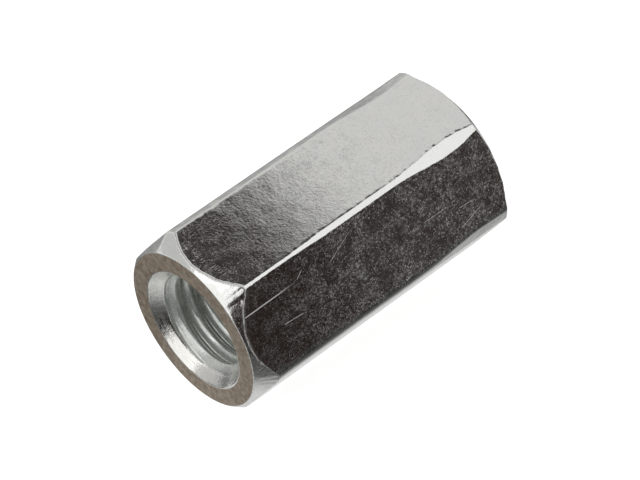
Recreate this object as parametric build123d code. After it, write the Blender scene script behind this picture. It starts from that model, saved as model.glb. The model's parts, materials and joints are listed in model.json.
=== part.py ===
from build123d import *
from math import cos, radians, tan
import os

# Coupling nut for an M12 thread, lying on one of its six flats.
# X runs along the bore and Z points up; the origin is on the bore's axis, halfway along the nut.
# The near end is the one at -X and the far end the one at +X.

# Hexagonal bar
across_flats = 19.0
length = 36.0

# How far the bar's corners are worn in from a sharp hexagon, over most of the length and at the far end,
# and the stretch before the far end over which the wear grows
corner_wear = 0.20
far_corner_wear = 0.44
far_wear_length = 10.5

# Thread, the amount that its drilled bore is smaller, and the countersink at each mouth of the bore
thread_diameter = 12.0
drill_allowance = 1.6
mouth_margin = 1.0
countersink_angle = 90.0

# Turned ends: how far the ring on each end face stays inside the flats, and how steeply its chamfer
# leaves the plane of the face
near_face_margin = 0.30
near_chamfer_angle = 56.5
far_face_margin = 0.90
far_chamfer_angle = 34.0

# Rounding of the end faces' edges, against the chamfers and against the countersinks
rim_radius = 0.20

# Sizes that follow from the ones above
half_length = length / 2
corner_radius = across_flats / 2 / cos(radians(30)) - corner_wear
far_corner_radius = across_flats / 2 / cos(radians(30)) - far_corner_wear
near_face_radius = across_flats / 2 - near_face_margin
far_face_radius = across_flats / 2 - far_face_margin
bore_radius = (thread_diameter - drill_allowance) / 2
mouth_radius = thread_diameter / 2 + mouth_margin
countersink_depth = (mouth_radius - bore_radius) / tan(radians(countersink_angle / 2))


def turned(*profile):
    """A solid of revolution about X, from points given as (place along X, distance from X)."""
    outline = Polyline(*profile, close=True)
    return revolve(make_face(Plane.XZ * outline), Axis.X, 360)


def hexagonal_bar():
    """The bar that the nut is cut from, with flats facing up and down."""
    section = Plane.YZ * RegularPolygon(across_flats / 2, 6, major_radius=False)
    return extrude(section, half_length, both=True)


def turned_blank():
    """What the lathe and the tumbling leave: chamfered ends, and a long cone that wears the corners."""
    near_run = (corner_radius - near_face_radius) * tan(radians(near_chamfer_angle))
    far_run = (far_corner_radius - far_face_radius) * tan(radians(far_chamfer_angle))
    return turned(
        (-half_length, 0),
        (-half_length, near_face_radius),
        (near_run - half_length, corner_radius),
        (half_length - far_wear_length, corner_radius),
        (half_length - far_run, far_corner_radius),
        (half_length, far_face_radius),
        (half_length, 0),
    )


def tapped_bore():
    """The through bore at the size of the thread's crests, countersunk at both mouths."""
    return turned(
        (-half_length, 0),
        (-half_length, mouth_radius),
        (countersink_depth - half_length, bore_radius),
        (half_length - countersink_depth, bore_radius),
        (half_length, mouth_radius),
        (half_length, 0),
    )


def coupling_nut():
    """The nut, with its end faces' circular edges softened."""
    nut = (hexagonal_bar() & turned_blank()) - tapped_bore()
    circles = nut.edges().filter_by(GeomType.CIRCLE).group_by(Axis.X)
    return fillet(circles[0] + circles[-1], rim_radius)


os.makedirs("parts", exist_ok=True)
export_step(coupling_nut(), "parts/coupling_nut.step")
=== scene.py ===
import json
import math

import bmesh
import bpy
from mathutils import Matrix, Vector, noise


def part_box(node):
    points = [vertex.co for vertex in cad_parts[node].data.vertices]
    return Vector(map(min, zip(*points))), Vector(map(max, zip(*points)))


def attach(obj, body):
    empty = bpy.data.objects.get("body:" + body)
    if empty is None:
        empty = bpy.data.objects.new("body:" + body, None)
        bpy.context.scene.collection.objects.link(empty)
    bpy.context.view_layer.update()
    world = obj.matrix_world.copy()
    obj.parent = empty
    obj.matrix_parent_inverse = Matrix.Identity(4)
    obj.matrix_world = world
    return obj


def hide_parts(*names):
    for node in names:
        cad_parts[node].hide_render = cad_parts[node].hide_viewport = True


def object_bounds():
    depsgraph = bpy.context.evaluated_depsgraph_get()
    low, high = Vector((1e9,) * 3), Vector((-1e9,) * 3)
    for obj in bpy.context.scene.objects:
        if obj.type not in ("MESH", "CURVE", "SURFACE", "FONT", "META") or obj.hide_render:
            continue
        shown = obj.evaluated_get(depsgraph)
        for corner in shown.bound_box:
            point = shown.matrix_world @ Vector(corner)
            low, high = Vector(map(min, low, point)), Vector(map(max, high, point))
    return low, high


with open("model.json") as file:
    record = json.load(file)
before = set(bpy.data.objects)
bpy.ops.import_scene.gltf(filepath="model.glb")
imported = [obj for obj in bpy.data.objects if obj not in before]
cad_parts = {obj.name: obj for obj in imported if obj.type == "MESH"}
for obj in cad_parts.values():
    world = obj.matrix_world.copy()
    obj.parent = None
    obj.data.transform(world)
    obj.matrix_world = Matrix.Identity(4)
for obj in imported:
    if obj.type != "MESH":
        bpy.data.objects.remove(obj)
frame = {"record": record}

# Lengths here are in millimetres and angles in degrees, and the finished mesh is scaled to metres.
# X runs along the bore and Z points up; the near end is the one at -X. An angle round the nut is
# counted from +Y towards the top, so the top flat lies at 90 and the front one at 150.
MM = 0.001
EDGES = 6
SIXTH_TURN = 360 / EDGES

cad_low, cad_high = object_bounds()
nut_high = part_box("coupling_nut")[1]
mounts = {mount["name"]: mount for mount in frame["record"]["mounts"]}
HALF_LENGTH = nut_high.x / MM
HALF_FLATS = nut_high.z / MM
SHARP_CORNER = HALF_FLATS / math.cos(math.radians(SIXTH_TURN / 2))
FLAT_WIDTH = 2 * HALF_FLATS * math.tan(math.radians(SIXTH_TURN / 2))

# Thread: its pitch, its radii at the crests and the roots, the share of a pitch that each of those takes up,
# and the rounding of the crests' edges
PITCH = 1.75
CREST_RADIUS = mounts["near_thread"]["dims"]["r_mm"]
ROOT_RADIUS = 6.0
CREST_SHARE = 0.30
ROOT_SHARE = 0.12
CREST_ROUNDING = 0.34

# Places across one pitch, as shares of it from the middle of a crest, each with the depth of the tool mark
# that is left there
THREAD_PROFILE = (
    (0.0, 0.0), (0.1, 0.0), (0.2, 0.0), (0.31, 0.01), (0.44, 0.0), (0.56, 0.0), (0.62, 0.010), (0.67, -0.006),
    (0.72, 0.010), (0.77, -0.004), (0.82, 0.008), (0.87, 0.0), (0.93, 0.0),
)

# Winding of the thread: how far in from the near end a crest passes angle 0, as a share of a pitch, how many
# turns are wound outside that end and cut off again, and the steps in a turn
THREAD_START = 0.385
TURNS_OUTSIDE = 2
TURN_STEPS = 90

# Mouths of the bore: radius of the rim, angle of the countersink with the axis, how softly it runs out into
# the thread, the depths where it is cut into rings, and width of the lip that joins it to the end face
MOUTH_RADIUS = 7.0
COUNTERSINK_ANGLE = 45.0
COUNTERSINK_ROUNDING = 0.2
COUNTERSINK_RINGS = (0.3, 0.6, 0.9, 1.2, 1.5, 1.8)
LIP = 0.07

# How near a vertex may be to a cut and count as on it, and how near two of them merge
CUT_TOLERANCE = 0.0005
MERGE_DISTANCE = 0.001

# Ends, -1 the near one and 1 the far one: radius of the ring on the face, slope of the chamfer from that
# face, how far the chamfer stands proud of that slope, and how far in from the face it has risen to that
FACE_RADIUS = {-1: 9.2, 1: 8.6}
CHAMFER_SLOPE = {-1: 56.5, 1: 34.0}
CHAMFER_CROWN = {-1: 0.06, 1: 0.02}
CROWN_RISE = 0.5

# Rounding of the ring's edge, and of the arcs where the chamfers meet the flats
RIM_RADIUS = 0.16
ARC_ROUNDING = 0.07

# Runs of the chamfers: the longest that is looked for, how often that stretch is halved in the search, and
# the shortest that a ragged one may be
LONGEST_CHAMFER = 3.0
HALVINGS = 24
SHORTEST_CHAMFER = 0.15

# Long edges, from the one at angle 0 on: how far a flat facet is worn in from each sharp corner near the near
# end, halfway, before the far end and beside it, and then the stretches along the nut where that changes
EDGE_WEAR = ((0.23, 0.28, 0.47, 0.28), (0.346, 0.346, 0.595, 0.4), (0.158, 0.24, 0.54, 0.22),
             (0.266, 0.266, 0.474, 0.4), (0.19, 0.27, 0.48, 0.3), (0.17, 0.25, 0.47, 0.25))
WEAR_CHANGES = ((-10.0, -4.0), (4.8, 12.5), (12.8, 17.8))

# How widely each facet's borders are rounded, how much of that is lost before the far end, how uneven each
# facet is beside the others, and half a facet's width for its wear
EDGE_ROUNDING = (0.06, 0.05, 0.03, 0.22, 0.06, 0.06)
FAR_SHARPENING = 0.8
EDGE_UNEVENNESS = (1.0, 0.5, 1.0, 0.3, 1.0, 1.0)
FACET_SPREAD = 1.46

# How far each facet opens out again beside the near end, and the depths where it starts and stops closing
FLARE = 0.20
FLARE_DEPTHS = (0.6, 2.3)

# Unevenness, as its height and how often it comes along the nut and round it: broad waves on the flats, small
# dents on the facets, and lumps on the chamfers, which come as often both ways
FLAT_WAVES = (0.004, 0.13, 1.4)
FACET_DENTS = (0.022, 1.1, 11)
CHAMFER_LUMPS = (0.05, 1.3)

# Ragged lines, each as two wanders with their height, how often they come and a seed: the facets' borders,
# whose heights are shares of the first value, and the arcs
BORDER_HEIGHT = 0.07
BORDER_WANDERS = ((0.7, 1.3, 1.0), (0.6, 2.8, 5.0))
ARC_WANDERS = ((0.11, 9, 3.0), (0.06, 31, 4.0))

# Seeds that give each long edge, and each of its two borders, an unevenness of its own
EDGE_SEED, BORDER_SEED, SIDE_SEED = 5.0, 7.3, 2.1

# The burr that the chamfering tool raised along the near arcs: its height above the flats, how far from an
# arc its level top ends and its foot lies, and how far below its flat the side is where it has gone
BURR_HEIGHT = 0.026
BURR_FALL = (0.07, 0.30)
BURR_SUNK = 0.03

# Its lumps: the share of its height that it usually has, how much that varies, its least, how often they
# come round the nut, and a seed
BURR_SHARE, BURR_VARIATION, BURR_LEAST = 0.62, 0.9, 0.15
BURR_LUMPS, BURR_SEED = 14, 5.0

# How far below its flat the side turns from dented flat to smooth facet
FACET_SUNK = (0.015, 0.05)

# Scuffs on the rims: the most, towards the front, and the shares of the way there where they start and stop
# growing
RIM_SCUFFS = 0.8
RIM_FRONT = (0.2, 0.8)

# Scuffs beside the arcs: where they start and stop fading, their share underneath the nut, and the heights
# where they start and stop growing from it, from -1 at the bottom to 1 at the top
ARC_SCUFFS = (0.02, 0.12)
LOW_SCUFFS = 0.45
SCUFFS_RISE = (-0.3, 0.9)

# How finely the shell is meshed: columns round it, rings on the flanks, how much both crowd at the edges, and
# the rings across an end, as shares of its face, of its rounded edge and of its chamfer
COLUMNS = 240
FLANK_RINGS = 230
CROWDING = 0.8
FACE_RINGS = (0.0, 0.25, 0.5, 0.75, 1.0)
RIM_RINGS = (0.25, 0.5, 0.75)
CHAMFER_RINGS = (0.0, 0.12, 0.26, 0.42, 0.58, 0.74, 0.87, 0.95)

# Digits of an angle that tell one column from another
COLUMN_DIGITS = 5

# Order of the finishes on the nut, and how squarely a face has to look along X to have the end faces' finish
ZINC, END_FACE, BORE = range(3)
SQUARELY = 0.999


def smooth_step(low, high, value):
    share = min(max((value - low) / (high - low), 0.0), 1.0)
    return share * share * (3 - 2 * share)


def soft_min(a, b, blend):
    """The smaller of two lengths, rounded over where they are closer than blend."""
    gap = max(blend - abs(a - b), 0.0) / blend
    return min(a, b) - gap * gap * blend / 4


def uneven_round(angle, often, seed):
    """A random height, about -1 to 1, at an angle round the nut."""
    return noise.noise(Vector((math.cos(angle) * often, math.sin(angle) * often, seed)))


def flat_radius(angle):
    """Distance from the axis to the sharp hexagon."""
    return HALF_FLATS / math.cos(angle % math.radians(SIXTH_TURN) - math.radians(SIXTH_TURN / 2))


def facet_wear(edge, along, changed):
    """How far the facet on a long edge is worn in from the sharp corner, at a place along the nut."""
    wears = EDGE_WEAR[edge % EDGES]
    wear = wears[0] + sum((after - before) * share for before, after, share in zip(wears, wears[1:], changed))
    return wear + FLARE * (1 - smooth_step(*FLARE_DEPTHS, along + HALF_LENGTH)) ** 2


def facet_relief(edge, off_edge, along, wear, beside_far_end):
    """How far a facet stands out: by dents all over it, and by ragged borders except beside the far end."""
    height, often_along, often_round = FACET_DENTS
    dents = height * noise.noise(Vector((along * often_along, off_edge * often_round, edge * EDGE_SEED)))
    border = edge * BORDER_SEED + math.copysign(SIDE_SEED, off_edge)
    ragged = sum(share * noise.noise(Vector((along * often, border, seed)))
                 for share, often, seed in BORDER_WANDERS)
    near_border = min(abs(off_edge) / (FACET_SPREAD * wear / SHARP_CORNER), 1)
    return dents + BORDER_HEIGHT * ragged * near_border ** 2 * (1 - beside_far_end)


def side_radius(angle, along):
    """Distance from the axis to the flats and to the worn facets between them."""
    height, often_along, often_round = FLAT_WAVES
    around = Vector((along * often_along, math.cos(angle) * often_round, math.sin(angle) * often_round))
    flat = flat_radius(angle) - BURR_HEIGHT + height * (noise.noise(around) - 1)
    edge = round(angle / math.radians(SIXTH_TURN))
    off_edge = angle - edge * math.radians(SIXTH_TURN)
    changed = [smooth_step(*stretch, along) for stretch in WEAR_CHANGES]
    wear = facet_wear(edge, along, changed)
    relief = EDGE_UNEVENNESS[edge % EDGES] * facet_relief(edge, off_edge, along, wear, changed[2])
    facet = (SHARP_CORNER - wear + relief) / math.cos(off_edge)
    return soft_min(flat, facet, EDGE_ROUNDING[edge % EDGES] * (1 - FAR_SHARPENING * changed[1]))


def burr(angle, past_arc, sunk):
    """Height of the raised edge on a flat, past the near arc; sunk is how far the side is below that flat."""
    share = BURR_SHARE + BURR_VARIATION * uneven_round(angle, BURR_LUMPS, BURR_SEED)
    height = BURR_HEIGHT * min(max(share, BURR_LEAST), 1.0) * (1 - smooth_step(*BURR_FALL, past_arc))
    return height * (1 - smooth_step(0.0, BURR_SUNK, sunk))


def chamfer_radius(end, run):
    """Distance from the axis to the chamfer, at a distance run along X from the end face."""
    straight = FACE_RADIUS[end] + run / math.tan(math.radians(CHAMFER_SLOPE[end]))
    return straight + CHAMFER_CROWN[end] * min(run / CROWN_RISE, 1)


def chamfer_run(angle, end):
    """How far from its end face the ragged chamfer meets the side, and how much further than an even one."""
    ragged = sum(height * uneven_round(angle, often, end * seed) for height, often, seed in ARC_WANDERS)
    low, high = 0.0, LONGEST_CHAMFER
    for _ in range(HALVINGS):
        middle = (low + high) / 2
        if chamfer_radius(end, middle) < side_radius(angle, end * (HALF_LENGTH - middle)):
            low = middle
        else:
            high = middle
    run = max(low + ragged, SHORTEST_CHAMFER)
    return run, run - low


def wall_radius(angle, end, depth, run, ragged):
    """Distance from the axis to the chamfer or the side beyond, and how far that side is below its flat."""
    along = end * (HALF_LENGTH - depth)
    side = side_radius(angle, along)
    sunk = flat_radius(angle) - BURR_HEIGHT - side
    if end < 0:
        side += burr(angle, depth - run, sunk)
    chamfer = chamfer_radius(end, depth - ragged * min(depth / run, 1))
    if depth < run:
        share = depth / run
        height, often = CHAMFER_LUMPS
        lumps = noise.noise(Vector((along, side * math.cos(angle), side * math.sin(angle))) * often)
        chamfer += height * lumps * share * (1 - share)
    return soft_min(chamfer, side, ARC_ROUNDING), sunk


def crowded(angle):
    """Moves evenly spaced angles closer together at the long edges."""
    return angle - CROWDING / EDGES * math.sin(EDGES * angle)


def spun(places, steps, climb=0.0):
    """A wall from a row of places, joined up and spun once round X, while it climbs that far along X."""
    bm = bmesh.new()
    row = [bm.verts.new(place) for place in places]
    for a, b in zip(row, row[1:]):
        bm.edges.new((a, b))
    bmesh.ops.spin(bm, geom=bm.verts[:] + bm.edges[:], cent=(0, 0, 0), axis=(1, 0, 0),
                   dvec=(climb / steps, 0, 0), angle=math.radians(360), steps=steps, use_merge=climb == 0)
    return bm


def shell_rings():
    """The rings of the shell in order, each as the end that it belongs to, its zone and its share of that."""
    across = [("face", share) for share in FACE_RINGS]
    across += [("rim", share) for share in RIM_RINGS]
    across += [("chamfer", share) for share in CHAMFER_RINGS]
    rings = [(-1, *ring) for ring in across]
    for ring in range(FLANK_RINGS + 1):
        share = ring / FLANK_RINGS
        rings.append((0, "flank", share - CROWDING * math.sin(2 * math.pi * share) / (2 * math.pi)))
    return rings + [(1, *ring) for ring in reversed(across)]


def face_place(end, zone, share):
    """Place on an end face or on its rounded edge: depth below the face, and radius."""
    slope = math.radians(CHAMFER_SLOPE[end])
    face = FACE_RADIUS[end] - RIM_RADIUS * math.tan(slope / 2)
    if zone == "rim":
        return RIM_RADIUS * (1 - math.cos(slope * share)), face + RIM_RADIUS * math.sin(slope * share)
    inner = MOUTH_RADIUS + LIP
    return 0.0, inner + (face - inner) * share


def wall_place(end, zone, share, runs):
    """Place on a chamfer or on the flanks between both: the end that it is nearer to, and depth below it."""
    if zone == "chamfer":
        start = RIM_RADIUS * (1 - math.cos(math.radians(CHAMFER_SLOPE[end])))
        return end, start + (runs[end][0] - start) * share
    near, far = runs[-1][0], runs[1][0]
    along = near - HALF_LENGTH + (2 * HALF_LENGTH - far - near) * share
    return 1 if along > 0 else -1, HALF_LENGTH - abs(along)


def arc_scuffs(angle, off_arc):
    """How scuffed the metal beside an arc is, more on top than underneath."""
    upward = LOW_SCUFFS + (1 - LOW_SCUFFS) * smooth_step(*SCUFFS_RISE, math.sin(angle))
    return (1 - smooth_step(*ARC_SCUFFS, abs(off_arc))) * upward


def round_the_flats(angle):
    """Distance round the hexagon from the corner at angle 0; it jumps at the corner under the front."""
    degrees = math.degrees(angle)
    if degrees < -2 * SIXTH_TURN:
        degrees += 360
    flat = math.floor(degrees / SIXTH_TURN) + 0.5
    return flat * FLAT_WIDTH + HALF_FLATS * math.tan(math.radians(degrees - flat * SIXTH_TURN))


def outer_shell():
    """Both end faces, both chamfers and the six flats with their worn edges, open at the mouths.

    Its vertices keep how turned and how worn the metal is there, and their place on the unrolled flats.
    """
    rings = shell_rings()
    bm = spun([(ring, 1, 0) for ring in range(len(rings))], COLUMNS)
    turned = bm.verts.layers.float.new("turned")
    worn = bm.verts.layers.float.new("worn")
    unrolled = bm.verts.layers.float_vector.new("unrolled")
    runs = {}
    for v in bm.verts:
        angle = crowded(math.atan2(v.co.z, v.co.y))
        end, zone, share = rings[round(v.co.x)]
        column = round(angle, COLUMN_DIGITS)
        if column not in runs:
            runs[column] = {-1: chamfer_run(angle, -1), 1: chamfer_run(angle, 1)}
        v[turned], v[worn] = 1.0, 0.0
        if zone in ("face", "rim"):
            depth, radius = face_place(end, zone, share)
        else:
            end, depth = wall_place(end, zone, share, runs[column])
            radius, sunk = wall_radius(angle, end, depth, *runs[column][end])
            v[worn] = arc_scuffs(angle, depth - runs[column][end][0])
        if zone == "rim":
            v[worn] = RIM_SCUFFS * smooth_step(*RIM_FRONT, -math.cos(angle))
        if zone == "flank":
            v[turned] = smooth_step(*FACET_SUNK, sunk)
        along = end * (HALF_LENGTH - depth)
        v.co = Vector((along, radius * math.cos(angle), radius * math.sin(angle)))
        v[unrolled] = Vector((along, round_the_flats(angle), 0)) * MM
    return bm


def thread_radius(share):
    """Distance from the axis to the thread's wall, share of a pitch from the middle of a crest."""
    share = abs(share - round(share)) * 2
    slope = (share - CREST_SHARE) / (1 - CREST_SHARE - ROOT_SHARE)
    flank = (ROOT_RADIUS - CREST_RADIUS) * min(slope, 1.0)
    return CREST_RADIUS - soft_min(-flank, 0.0, CREST_ROUNDING)


def cone_radius(along):
    """Distance from the axis to the countersink, level with its mouth outside the nut."""
    depth = max(HALF_LENGTH - abs(along), 0.0)
    return MOUTH_RADIUS - depth * math.tan(math.radians(COUNTERSINK_ANGLE))


def cut_across(bm, end, depth, clear_outer=False):
    """Cuts a wall square to the axis at a depth below an end face, and can drop what lies outside the cut."""
    bmesh.ops.bisect_plane(bm, geom=bm.verts[:] + bm.edges[:] + bm.faces[:], dist=CUT_TOLERANCE,
                           plane_co=(end * (HALF_LENGTH - depth), 0, 0), plane_no=(end, 0, 0),
                           clear_outer=clear_outer)


def bore_wall():
    """The thread, wound by a spin that climbs one pitch a turn, and opened out by both countersinks."""
    turns = math.ceil(2 * HALF_LENGTH / PITCH) + TURNS_OUTSIDE + 1
    start = -HALF_LENGTH - PITCH * (TURNS_OUTSIDE - THREAD_START)
    row = [(start + (turn + share) * PITCH, thread_radius(share) + mark, 0)
           for turn in range(turns) for share, mark in THREAD_PROFILE]
    bm = spun(row, TURN_STEPS, climb=PITCH)
    bmesh.ops.remove_doubles(bm, verts=bm.verts[:], dist=MERGE_DISTANCE)
    for end in (-1, 1):
        for depth in COUNTERSINK_RINGS:
            cut_across(bm, end, depth)
    for v in bm.verts:
        across = Vector((0, v.co.y, v.co.z))
        radius = -soft_min(-across.length, -cone_radius(v.co.x), COUNTERSINK_ROUNDING)
        v.co = Vector((v.co.x, 0, 0)) + across.normalized() * radius
    for end in (-1, 1):
        cut_across(bm, end, LIP / 2, clear_outer=True)
    return bm


def as_mesh(bm, name):
    mesh = bpy.data.meshes.new(name)
    bm.to_mesh(mesh)
    bm.free()
    return mesh


def on_end_face(f):
    """Whether a face of the shell belongs to the flat ring of an end."""
    middle = f.calc_center_median()
    end = 1 if middle.x > 0 else -1
    inside_rim = math.hypot(middle.y, middle.z) < FACE_RADIUS[end] - RIM_RADIUS / 2
    return abs(f.normal.x) > SQUARELY and inside_rim


def open_rims(bm, end):
    """The loop round an open mouth on the shell, and the one on the bore."""
    return [e for e in bm.edges if e.is_boundary and e.verts[0].co.x * end > 0]


def coupling_nut():
    """The whole nut as one closed mesh, its bore joined to its shell by a lip round each mouth."""
    bore_mesh = as_mesh(bore_wall(), "bore")
    bm = outer_shell()
    bm.normal_update()
    for f in bm.faces:
        f.material_index = END_FACE if on_end_face(f) else ZINC
    shell_faces = len(bm.faces)
    bm.from_mesh(bore_mesh)
    bpy.data.meshes.remove(bore_mesh)
    bm.faces.ensure_lookup_table()
    for f in bm.faces[shell_faces:]:
        f.material_index = BORE
    for end in (-1, 1):
        for f in bmesh.ops.bridge_loops(bm, edges=open_rims(bm, end))["faces"]:
            f.material_index = ZINC
    bmesh.ops.recalc_face_normals(bm, faces=bm.faces[:])
    bmesh.ops.scale(bm, verts=bm.verts[:], vec=(MM, MM, MM))
    for f in bm.faces:
        f.smooth = True
    nut = bpy.data.objects.new("coupling_nut_body", as_mesh(bm, "coupling_nut_body"))
    bpy.context.scene.collection.objects.link(nut)
    return nut


def fill(tree, node, inputs):
    """Links sockets to a node's inputs, and sets its other inputs to values."""
    for name, value in inputs.items():
        if isinstance(value, bpy.types.NodeSocket):
            tree.links.new(value, node.inputs[name])
        else:
            node.inputs[name].default_value = value


def put(tree, kind, inputs, **settings):
    """Adds a node, sets its options, and links or fills its inputs."""
    made = tree.nodes.new(kind)
    for name, value in settings.items():
        setattr(made, name, value)
    fill(tree, made, inputs)
    return made


def math_of(tree, operation, a, *others):
    """A sum, product or the like of several numbers, worked out in their order, or a function of one."""
    for b in others or (0.0,):
        a = put(tree, "ShaderNodeMath", {0: a, 1: b}, operation=operation).outputs[0]
    return a


def vector_of(tree, operation, a, b):
    return put(tree, "ShaderNodeVectorMath", {0: a, 1: b}, operation=operation).outputs


def split(tree, place):
    """The X, Y and Z of a place."""
    return put(tree, "ShaderNodeSeparateXYZ", {0: place}).outputs


def remap(tree, value, span, target=(0.0, 1.0)):
    """A value taken from one span to another with soft ends, and level outside it."""
    made = put(tree, "ShaderNodeMapRange", {"Value": value, "From Min": span[0], "From Max": span[1],
                                            "To Min": target[0], "To Max": target[1]},
               interpolation_type="SMOOTHSTEP")
    return made.outputs["Result"]


def grain(tree, place, scale, detail=2.0, roughness=0.5, distortion=0.0):
    """A random grain about 0.5, with scale its closeness and detail and roughness its finer part."""
    made = put(tree, "ShaderNodeTexNoise", {"Vector": place, "Scale": scale, "Detail": detail,
                                            "Roughness": roughness, "Distortion": distortion})
    return made.outputs[0]


def blend(tree, factor, a, b):
    """A number between a and b."""
    return put(tree, "ShaderNodeMix", {"Factor": factor, 2: a, 3: b}).outputs[0]


def blend_colour(tree, factor, a, b):
    """A colour between a and b, each a colour or a socket."""
    a, b = [c if isinstance(c, bpy.types.NodeSocket) else (*c, 1) for c in (a, b)]
    return put(tree, "ShaderNodeMix", {"Factor": factor, 6: a, 7: b}, data_type="RGBA").outputs[2]


def mapped(tree, place, **inputs):
    return put(tree, "ShaderNodeMapping", {"Vector": place, **inputs}, vector_type="POINT").outputs[0]


def in_millimetres(tree, place, stretch=(1, 1, 1), turn=0):
    """A place given in metres, turned about Z and then stretched."""
    turned = mapped(tree, mapped(tree, place, Scale=[1 / MM] * 3), Rotation=[0, 0, math.radians(turn)])
    return mapped(tree, turned, Scale=stretch)


def object_place(tree, stretch=(1, 1, 1)):
    """The place on the object, in millimetres."""
    return in_millimetres(tree, put(tree, "ShaderNodeTexCoord", {}).outputs["Object"], stretch)


def attribute(tree, name, output="Fac"):
    """What outer_shell left on the vertices under this name."""
    return put(tree, "ShaderNodeAttribute", {}, attribute_name=name).outputs[output]


def inside_ends(tree, along):
    """Distance from the nearer end face, for a place along X."""
    return math_of(tree, "SUBTRACT", HALF_LENGTH, math_of(tree, "ABSOLUTE", along))


def relief(tree, height, depth):
    """A bump for the shader's normal, where a height of 1 is as many millimetres as depth says."""
    return put(tree, "ShaderNodeBump", {"Height": height, "Strength": 1.0, "Distance": depth * MM}).outputs[0]


def finish(name):
    """A new material, with its node tree and its shader."""
    material = bpy.data.materials.new(name)
    material.use_nodes = True
    return material, material.node_tree, material.node_tree.nodes["Principled BSDF"]


def metal(name):
    """A new material that is metal wherever nothing dulls it."""
    material, tree, shader = finish(name)
    shader.inputs["Metallic"].default_value = 1.0
    return material, tree, shader


# Hairlines on the flats, in four sets: their angle to the nut's axis, length, spacing, and how rare they are;
# then how thin they are, how strongly they show, and the patches that they gather in: how close those are,
# how soft their edges are, and how far they are turned from the hairlines
HAIRLINES = ((4, 9, 0.5, 0.52), (-28, 7, 0.6, 0.56), (37, 6, 0.7, 0.58), (81, 5, 0.7, 0.60))
HAIRLINE_WIDTH = 0.011
HAIRLINE_STRENGTH = 0.3
PATCH_SCALE, PATCH_EDGE, PATCH_TURN = 0.6, 0.16, 40

# Middles of the top flat and of the front one, as places round the hexagon
TOP = 1.5 * FLAT_WIDTH
FRONT = 2.5 * FLAT_WIDTH

# Scratches on the front flat, as places along the nut and round the hexagon, with their widths
SCRATCHES = (
    ((-17.1, FRONT - 2.64), (-9.4, FRONT - 2.72), 0.075),
    ((-13.2, FRONT + 0.54), (-9.8, FRONT + 0.78), 0.036),
    ((-9.9, FRONT - 2.75), (-8.6, FRONT - 3.6), 0.036),
    ((6.4, FRONT + 0.29), (10.4, FRONT + 0.36), 0.03),
    ((-5.6, FRONT - 2.2), (-1.2, FRONT - 4.3), 0.024),
    ((11.2, FRONT + 1.3), (13.6, FRONT + 1.4), 0.036),
    ((10.5, FRONT + 3.4), (15.0, FRONT + 2.2), 0.03),
)

# How a scratch is made: the share of its width with full strength, the length of its blunt start, and the
# share of its length after which it fades
SCRATCH_CORE, SCRATCH_START, SCRATCH_FADE = 0.4, 0.3, 0.55

# Grains of the zinc, as their closeness, detail, roughness and distortion: crackled dents, waves, dings that
# only turned metal has, clouds, fine and coarse specks, patches of scuffs, and tints
DENTS = (3.6, 4.0, 0.62, 0.5)
WAVES = (0.5, 2.0)
DINGS = (1.8, 3.0, 0.6)
CLOUDS = (0.55, 5.0, 0.7)
FINE_SPECKS = (5.2, 2.0, 0.7)
COARSE_SPECKS = (2.8, 5.0, 0.82)
SCUFF_PATCHES = (2.6, 3.0, 0.7)
TINTS = (0.6, 4.0, 0.6)

# Marks along the nut, each as a stretch and their shares where it starts and ends: on the top flat by the
# near end and past it, on the other flats, and on turned metal, by its depth from the nearer end
NEAR_TOP_MARKS = ((-17.5, -13.5), (0.5, 0.22))
FAR_TOP_MARKS = ((-9.0, -1.0), (0.2, 0.4))
FLAT_MARKS = ((-18.0, -1.0), (0.3, 1.0))
TURNED_MARKS = ((1.5, 2.5), (0.6, 0.2))

# How the clouds hold specks back or gather them, and then where the fine grain has plain specks and faint
# ones, and where the coarse grain has broad ones, each as a span of the grain and what it becomes
GATHERING = ((0.35, 0.65), (0.035, -0.04))
PLAIN_SPECKS = ((0.595, 0.70), (0.0, 1.0))
FAINT_SPECKS = ((0.50, 0.62), (0.0, 0.2))
BROAD_SPECKS = ((0.47, 0.68), (0.0, 0.6))

# Spans of the scuffs' patches, with what they become, and of the clouds and the tints
SCUFF_SPAN = ((0.38, 0.6), (0.55, 1.1))
CLOUD_SPAN = (0.45, 0.7)
TINT_SPAN = (0.38, 0.62)

# Heights of the zinc's relief, where its dents have 1, and how many millimetres a height of 1 is
WAVE_HEIGHT, DING_HEIGHT, SCRATCH_DEPTH = 2.2, 4.5, 3.0
ZINC_RELIEF = 0.0048

# Roughness of the zinc: clear of the clouds and inside them, turned, speckled or scratched, and scuffed
CLEAR_ROUGH, CLOUDED_ROUGH, TURNED_ROUGH, MARKED_ROUGH, SCUFFED_ROUGH = 0.04, 0.08, 0.13, 0.5, 0.4

# How much of the metal's mirror scratches, specks and scuffs take away, and the white that they leave
SCRATCH_DULL, SPECK_DULL, SCUFF_DULL = 0.85, 0.7, 0.85
DULL_WHITE = (0.98, 0.98, 0.96)

# Colours of the zinc: two tints of the flats, what lies under them on the top flat, and turned metal
COOL_TINT, WARM_TINT = (0.72, 0.735, 0.715), (0.77, 0.755, 0.735)
TOP_COLOUR, TURNED_COLOUR = (0.735, 0.745, 0.715), (0.80, 0.81, 0.785)

# How strongly the top flat is tinted, and how wide the change is beside its long edges
TOP_TINT = 0.4
TOP_BORDER = 0.4


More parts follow.
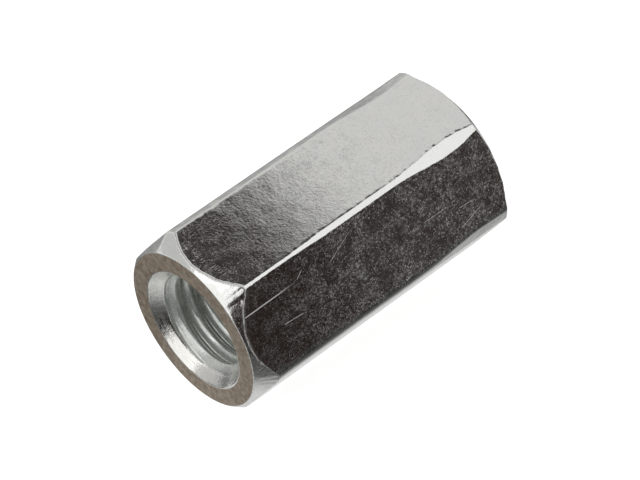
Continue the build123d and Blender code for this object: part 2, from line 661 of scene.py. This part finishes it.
def hairlines(tree, unrolled, turn, length, spacing, rarity):
    """Thin long scratches on the flats, all at about one angle to the nut's axis."""
    level = grain(tree, in_millimetres(tree, unrolled, (1 / length, 1 / spacing, 1), turn), 1.0, 1.0)
    off = math_of(tree, "ABSOLUTE", math_of(tree, "SUBTRACT", level, 0.5))
    patch = grain(tree, in_millimetres(tree, unrolled, (PATCH_SCALE, PATCH_SCALE, 1), turn + PATCH_TURN), 1.0)
    return math_of(tree, "MULTIPLY", remap(tree, off, (0.0, HAIRLINE_WIDTH), (1.0, 0.0)),
                   remap(tree, patch, (rarity, rarity + PATCH_EDGE)))


def scratch(tree, unrolled, start, end, width):
    """1 along one straight scratch between two places on the unrolled flats, and 0 elsewhere."""
    reach = Vector((end[0] - start[0], end[1] - start[1], 0))
    direction = reach.normalized()
    from_start = vector_of(tree, "SUBTRACT", in_millimetres(tree, unrolled), (*start, 0))[0]
    along = vector_of(tree, "DOT_PRODUCT", from_start, direction)["Value"]
    off = vector_of(tree, "DOT_PRODUCT", from_start, (-direction.y, direction.x, 0))["Value"]
    thin = remap(tree, math_of(tree, "ABSOLUTE", off), (width * SCRATCH_CORE, width), (1.0, 0.0))
    started = remap(tree, along, (0.0, SCRATCH_START))
    fading = remap(tree, along, (reach.length * SCRATCH_FADE, reach.length), (1.0, 0.0))
    return math_of(tree, "MULTIPLY", thin, math_of(tree, "MULTIPLY", started, fading))


def off_top_flat(tree, unrolled):
    """0 on the flat that lies on top, and 1 on the others."""
    round_nut = split(tree, in_millimetres(tree, unrolled))[1]
    from_top = math_of(tree, "ABSOLUTE", math_of(tree, "SUBTRACT", round_nut, TOP))
    return remap(tree, from_top, (FLAT_WIDTH / 2 - TOP_BORDER, FLAT_WIDTH / 2))


def busyness(tree, place, off_top, turned):
    """How many marks there are along the nut: on the top flat, on the other flats, and on turned metal."""
    along = split(tree, place)[0]
    on_top = math_of(tree, "MAXIMUM", remap(tree, along, *NEAR_TOP_MARKS), remap(tree, along, *FAR_TOP_MARKS))
    on_others = remap(tree, along, *FLAT_MARKS)
    on_turned = remap(tree, inside_ends(tree, along), *TURNED_MARKS)
    return blend(tree, turned, blend(tree, off_top, on_top, on_others), on_turned)


def speckled(tree, place, clouds):
    """Specks, plain and faint ones of the fine grain and broad ones of the coarse, thicker in the clouds."""
    gathered = remap(tree, clouds, *GATHERING)
    fine = math_of(tree, "SUBTRACT", grain(tree, place, *FINE_SPECKS), gathered)
    coarse = math_of(tree, "SUBTRACT", grain(tree, place, *COARSE_SPECKS), gathered)
    return math_of(tree, "MAXIMUM", remap(tree, fine, *PLAIN_SPECKS), remap(tree, fine, *FAINT_SPECKS),
                   remap(tree, coarse, *BROAD_SPECKS))


def scratched(tree, unrolled, busy):
    """Hairlines where it is busy, and the scratches of the front flat."""
    lines = math_of(tree, "MAXIMUM", *[hairlines(tree, unrolled, *line) for line in HAIRLINES])
    lines = math_of(tree, "MULTIPLY", lines, HAIRLINE_STRENGTH, busy)
    return math_of(tree, "MAXIMUM", lines, *[scratch(tree, unrolled, *mark) for mark in SCRATCHES])


def zinc():
    """Bright zinc: mirror-like, with fine dents and scratches on the flats, and smoother where turned."""
    material, tree, shader = metal("zinc")
    place = object_place(tree)
    unrolled = attribute(tree, "unrolled", "Vector")
    turned = attribute(tree, "turned")
    flat = math_of(tree, "SUBTRACT", 1.0, turned)
    off_top = off_top_flat(tree, unrolled)
    busy = busyness(tree, place, off_top, turned)
    clouds = grain(tree, place, *CLOUDS)
    specks = math_of(tree, "MULTIPLY", speckled(tree, place, clouds), busy)
    marks = math_of(tree, "MULTIPLY", scratched(tree, unrolled, busy), flat)
    patches = remap(tree, grain(tree, place, *SCUFF_PATCHES), *SCUFF_SPAN)
    scuffed = math_of(tree, "MULTIPLY", attribute(tree, "worn"), patches)

    rough = blend(tree, remap(tree, clouds, CLOUD_SPAN), CLEAR_ROUGH, CLOUDED_ROUGH)
    for here, roughness in ((specks, MARKED_ROUGH), (turned, TURNED_ROUGH), (marks, MARKED_ROUGH),
                            (scuffed, SCUFFED_ROUGH)):
        rough = blend(tree, here, rough, roughness)
    dull = math_of(tree, "MAXIMUM", math_of(tree, "MULTIPLY", marks, SCRATCH_DULL),
                   math_of(tree, "MULTIPLY", specks, SPECK_DULL),
                   math_of(tree, "MULTIPLY", scuffed, SCUFF_DULL))

    tints = remap(tree, grain(tree, place, *TINTS), TINT_SPAN)
    tinted = math_of(tree, "MULTIPLY", blend(tree, off_top, TOP_TINT, 1.0), flat)
    plain = blend_colour(tree, turned, TOP_COLOUR, TURNED_COLOUR)
    shade = blend_colour(tree, tinted, plain, blend_colour(tree, tints, COOL_TINT, WARM_TINT))

    dents = math_of(tree, "MULTIPLY", grain(tree, place, *DENTS), flat)
    waves = math_of(tree, "MULTIPLY", grain(tree, place, *WAVES), WAVE_HEIGHT)
    dings = math_of(tree, "MULTIPLY", grain(tree, place, *DINGS), turned, DING_HEIGHT)
    raised = math_of(tree, "ADD", dents, waves, dings)
    height = math_of(tree, "SUBTRACT", raised, math_of(tree, "MULTIPLY", marks, SCRATCH_DEPTH))
    fill(tree, shader, {
        "Base Color": blend_colour(tree, dull, shade, DULL_WHITE),
        "Metallic": math_of(tree, "SUBTRACT", 1.0, dull),
        "Roughness": rough,
        "Normal": relief(tree, height, ZINC_RELIEF),
    })
    return material


# Span of the grain that every mottle has
MOTTLE_SPAN = (0.3, 0.7)

# The sawn and turned end faces: their two dark brown colours, a painted reflection of a brown surface that
# they mirror, and the closeness and detail of their mottle, how far they are metal, and the grain and range
# of their roughness
PAINTED_FACE_DARK, PAINTED_FACE_LIGHT = (0.225, 0.175, 0.13), (0.445, 0.375, 0.295)
FACE_MOTTLE = (1.6, 5.0, 0.65)
FACE_METAL = 0.25
FACE_GRAIN = (4.0, 2.0)
FACE_ROUGH = (0.48, 0.62)


def end_face():
    """The sawn and turned end faces: duller than the rest, and browner by a painted reflection of a brown
    surface next to the nut.
    """
    material, tree, shader = metal("end_face")
    place = object_place(tree)
    mottle = remap(tree, grain(tree, place, *FACE_MOTTLE), MOTTLE_SPAN)
    fill(tree, shader, {
        "Base Color": blend_colour(tree, mottle, PAINTED_FACE_DARK, PAINTED_FACE_LIGHT),
        "Metallic": FACE_METAL,
        "Roughness": remap(tree, grain(tree, place, *FACE_GRAIN), MOTTLE_SPAN, FACE_ROUGH),
    })
    return material


# The bore: the depths where the countersinks' looks start and stop giving way to the thread's, the two
# colours and the roughness of each, clear and speckled, and how far the thread is metal
BORE_CHANGE = (0.9, 1.5)
CONE_DARK, CONE_LIGHT = (0.78, 0.78, 0.745), (0.84, 0.835, 0.80)
THREAD_DARK, THREAD_LIGHT = (0.66, 0.69, 0.655), (0.78, 0.80, 0.765)
CONE_ROUGH, THREAD_ROUGH = (0.16, 0.24), (0.13, 0.28)
THREAD_METAL = 0.55

# Its grains: mottle, specks with their span, rings with their stretch along the bore and across, and pits
BORE_MOTTLE = (1.6, 4.0, 0.65)
BORE_SPECKS = (7.0, 2.0, 0.6)
BORE_SPECK_SPAN = (0.45, 0.65)
BORE_RINGS = (1.0, 2.0, 0.7)
RING_STRETCH = (6, 0.12, 0.12)
BORE_PITS = (2.2, 4.0, 0.65)

# Heights of its rings and pits, and how many millimetres a height of 1 is
RING_HEIGHT, PIT_HEIGHT = 4.5, 4.0
BORE_RELIEF = 0.008


def tapped_bore():
    """The bore: bright and finely ringed on the countersinks, duller and greener down the thread."""
    material, tree, shader = metal("bore")
    place = object_place(tree)
    deep = remap(tree, inside_ends(tree, split(tree, place)[0]), BORE_CHANGE)
    mottle = remap(tree, grain(tree, place, *BORE_MOTTLE), MOTTLE_SPAN)
    specks = remap(tree, grain(tree, place, *BORE_SPECKS), BORE_SPECK_SPAN)
    rings = math_of(tree, "MULTIPLY", grain(tree, object_place(tree, RING_STRETCH), *BORE_RINGS), RING_HEIGHT)
    pits = math_of(tree, "MULTIPLY", grain(tree, place, *BORE_PITS), PIT_HEIGHT)
    fill(tree, shader, {
        "Base Color": blend_colour(tree, deep, blend_colour(tree, mottle, CONE_DARK, CONE_LIGHT),
                                   blend_colour(tree, mottle, THREAD_DARK, THREAD_LIGHT)),
        "Metallic": remap(tree, deep, (0.0, 1.0), (1.0, THREAD_METAL)),
        "Roughness": blend(tree, deep, blend(tree, specks, *CONE_ROUGH), blend(tree, specks, *THREAD_ROUGH)),
        "Normal": relief(tree, math_of(tree, "ADD", rings, pits), BORE_RELIEF),
    })
    return material


# Camera, fitted to the nut's outline in the photograph: where it looks along the ground, counted from +Y
# towards +X, its height above the horizon, its distance, how far it is moved left and down from there, its
# focal length and image width in pixels, its sensor, and the distances between which it sees
CAMERA_AZIMUTH = 42.997
CAMERA_ELEVATION = 48.75
CAMERA_DISTANCE = 416.27
CAMERA_ASIDE = (0.192, 0.022)
FOCAL_PIXELS = 4000
IMAGE_WIDTH = 640
SENSOR_WIDTH = 36.0
SEEN_FROM, SEEN_TO = 10, 20000


def camera():
    azimuth, elevation = math.radians(CAMERA_AZIMUTH), math.radians(CAMERA_ELEVATION)
    back = Vector((-math.sin(azimuth) * math.cos(elevation), -math.cos(azimuth) * math.cos(elevation),
                   math.sin(elevation)))
    right = Vector((math.cos(azimuth), -math.sin(azimuth), 0))
    up = back.cross(right)
    data = bpy.data.cameras.new("camera")
    data.sensor_width = SENSOR_WIDTH
    data.lens = FOCAL_PIXELS / IMAGE_WIDTH * SENSOR_WIDTH
    data.clip_start = SEEN_FROM * MM
    data.clip_end = SEEN_TO * MM
    made = bpy.data.objects.new("camera", data)
    made.location = (back * CAMERA_DISTANCE - right * CAMERA_ASIDE[0] - up * CAMERA_ASIDE[1]) * MM
    made.rotation_mode = "QUATERNION"
    made.rotation_quaternion = (-back).to_track_quat("-Z", "Y")
    bpy.context.scene.collection.objects.link(made)
    bpy.context.scene.camera = made


def softbox(name, centre, facing, width, height, radiance):
    """A rectangular lamp at centre, square to the direction facing, as bright as radiance all over."""
    data = bpy.data.lights.new(name, "AREA")
    data.shape = "RECTANGLE"
    data.size, data.size_y = width * MM, height * MM
    data.energy = radiance * math.pi * data.size * data.size_y
    made = bpy.data.objects.new(name, data)
    made.location = Vector(centre) * MM
    made.rotation_mode = "QUATERNION"
    made.rotation_quaternion = Vector(facing).to_track_quat("-Z", "Y")
    made.visible_camera = False
    bpy.context.scene.collection.objects.link(made)


def panel(name, x, y, z, radiance):
    """A level softbox facing down, between two places along X and two along Y."""
    softbox(name, (sum(x) / 2, sum(y) / 2, z), (0, 0, -1), x[1] - x[0], y[1] - y[0], radiance)


def screen(name, bearing, distance, across, up, radiance):
    """A softbox in a plane that faces the nut from a bearing, at a distance.

    The bearing is an azimuth, counted from +X towards +Y, and an elevation. The softbox lies between two
    places across that plane, in the direction of growing azimuth, and two places up it.
    """
    azimuth, elevation = [math.radians(angle) for angle in bearing]
    towards = Vector((math.cos(azimuth) * math.cos(elevation), math.sin(azimuth) * math.cos(elevation),
                      math.sin(elevation)))
    sideways = Vector((-math.sin(azimuth), math.cos(azimuth), 0))
    upward = towards.cross(sideways)
    centre = towards * distance + sideways * sum(across) / 2 + upward * sum(up) / 2
    softbox(name, centre, -towards, across[1] - across[0], up[1] - up[0], radiance)


# Floor and room: the floor's side, its grey and how brightly it shines for the camera alone, and what the
# room gives the metal to mirror
FLOOR_SIZE = 3000
FLOOR_GREY = (0.8, 0.8, 0.8)
FLOOR_SHINE = 0.78
ROOM_DARK = (0.022, 0.015, 0.013)
WHITE, BLACK = (1, 1, 1), (0, 0, 0)

# Painted glow on the floor, which only the metal sees in its reflections and no lamp gives, each as a stretch
# and its brightness where that starts and ends: a glow round the nut, shut off behind it, dim light further
# away, which is painted shade, pale light behind, more of it far behind on a slant, and a streak to the left,
# shut off in front
GLOW, GLOW_SHUT = ((1.0, 13.0), (0.62, 0.0)), ((4.0, 9.0), (1.0, 0.0))
DIM = ((10.0, 50.0), (0.10, 0.035))
PALE = ((2.0, 40.0), (0.0, 0.2))
FAR_PALE = ((20.0, 120.0), (0.0, 0.08))
SLANT = 0.3
STREAK, STREAK_SHUT = ((30.0, 90.0), (0.0, 0.75)), ((-2.0, 22.0), (1.0, 0.0))


def painted_floor_glow(tree):
    """Painted glow: how bright the metal mirrors each place of the floor, which shines so though no lamp
    lights it.
    """
    x, y, _ = split(tree, object_place(tree))
    left, front = math_of(tree, "MULTIPLY", x, -1.0), math_of(tree, "MULTIPLY", y, -1.0)
    beyond = [math_of(tree, "MAXIMUM", math_of(tree, "SUBTRACT", side, half), 0.0)
              for side, half in ((left, HALF_LENGTH), (front, HALF_FLATS))]
    squares = [math_of(tree, "POWER", side, 2.0) for side in beyond]
    away = math_of(tree, "SQRT", math_of(tree, "ADD", *squares))
    slant = math_of(tree, "ADD", x, math_of(tree, "MULTIPLY", y, SLANT))
    glow = math_of(tree, "MULTIPLY", remap(tree, away, *GLOW), remap(tree, y, *GLOW_SHUT))
    streak = math_of(tree, "MULTIPLY", remap(tree, left, *STREAK), remap(tree, front, *STREAK_SHUT))
    return math_of(tree, "ADD", glow, remap(tree, away, *DIM), remap(tree, y, *PALE),
                   remap(tree, slant, *FAR_PALE), streak)


def floor_finish():
    """White to the camera, and to the metal a painted glow of light and shade round the nut."""
    material, tree, shader = finish("floor")
    rays = put(tree, "ShaderNodeLightPath", {}).outputs
    seen = math_of(tree, "MULTIPLY", rays["Is Camera Ray"], FLOOR_SHINE)
    # Painted glow, seen only by glossy rays
    painted_glow = math_of(tree, "MULTIPLY", rays["Is Glossy Ray"], painted_floor_glow(tree))
    fill(tree, shader, {
        "Base Color": blend_colour(tree, rays["Is Glossy Ray"], FLOOR_GREY, BLACK),
        "Roughness": 1.0,
        "Specular IOR Level": 0.0,
        "Emission Color": (*WHITE, 1),
        "Emission Strength": math_of(tree, "ADD", seen, painted_glow),
    })
    return material


def floor():
    """A white floor. The metal mirrors a glow painted on it: bright beside the nut, dim in front as painted
    shade, and pale behind.
    """
    bm = bmesh.new()
    bmesh.ops.create_grid(bm, x_segments=1, y_segments=1, size=FLOOR_SIZE * MM / 2)
    bmesh.ops.translate(bm, verts=bm.verts[:], vec=(0, 0, cad_low.z))
    made = bpy.data.objects.new("floor", as_mesh(bm, "floor"))
    bpy.context.scene.collection.objects.link(made)
    made.data.materials.append(floor_finish())


def room():
    """A room that is white to the camera, and dark to the metal."""
    world = bpy.data.worlds.new("room")
    world.use_nodes = True
    tree = world.node_tree
    seen = put(tree, "ShaderNodeLightPath", {}).outputs["Is Camera Ray"]
    fill(tree, tree.nodes["Background"], {"Color": blend_colour(tree, seen, ROOM_DARK, WHITE)})
    bpy.context.scene.world = world


nut = coupling_nut()
for nut_finish in (zinc(), end_face(), tapped_bore()):
    nut.data.materials.append(nut_finish)
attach(nut, "root")
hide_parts("coupling_nut")

camera()
floor()
room()
panel("back_panel", x=(169, 620), y=(0, 640), z=300, radiance=0.75)
panel("back_edge_panel", x=(60, 158), y=(0, 640), z=300, radiance=0.025)
panel("over_panel", x=(-450, 150), y=(-110, 400), z=450, radiance=0.66)
panel("right_panel", x=(-60, 600), y=(-560, -32), z=450, radiance=0.98)
screen("left_screen", bearing=(181, 30), distance=450, across=(-210, 190), up=(-266, 168), radiance=1.10)
screen("left_back_screen", bearing=(126, 27), distance=480, across=(-280, 280), up=(-235, 235), radiance=0.56)
screen("back_screen", bearing=(90, 0), distance=640, across=(-900, 100), up=(-8, 300), radiance=0.53)
screen("front_screen", bearing=(270, 0), distance=300, across=(142, 520), up=(-8, 140), radiance=0.016)

bpy.context.scene.view_settings.view_transform = "Standard"
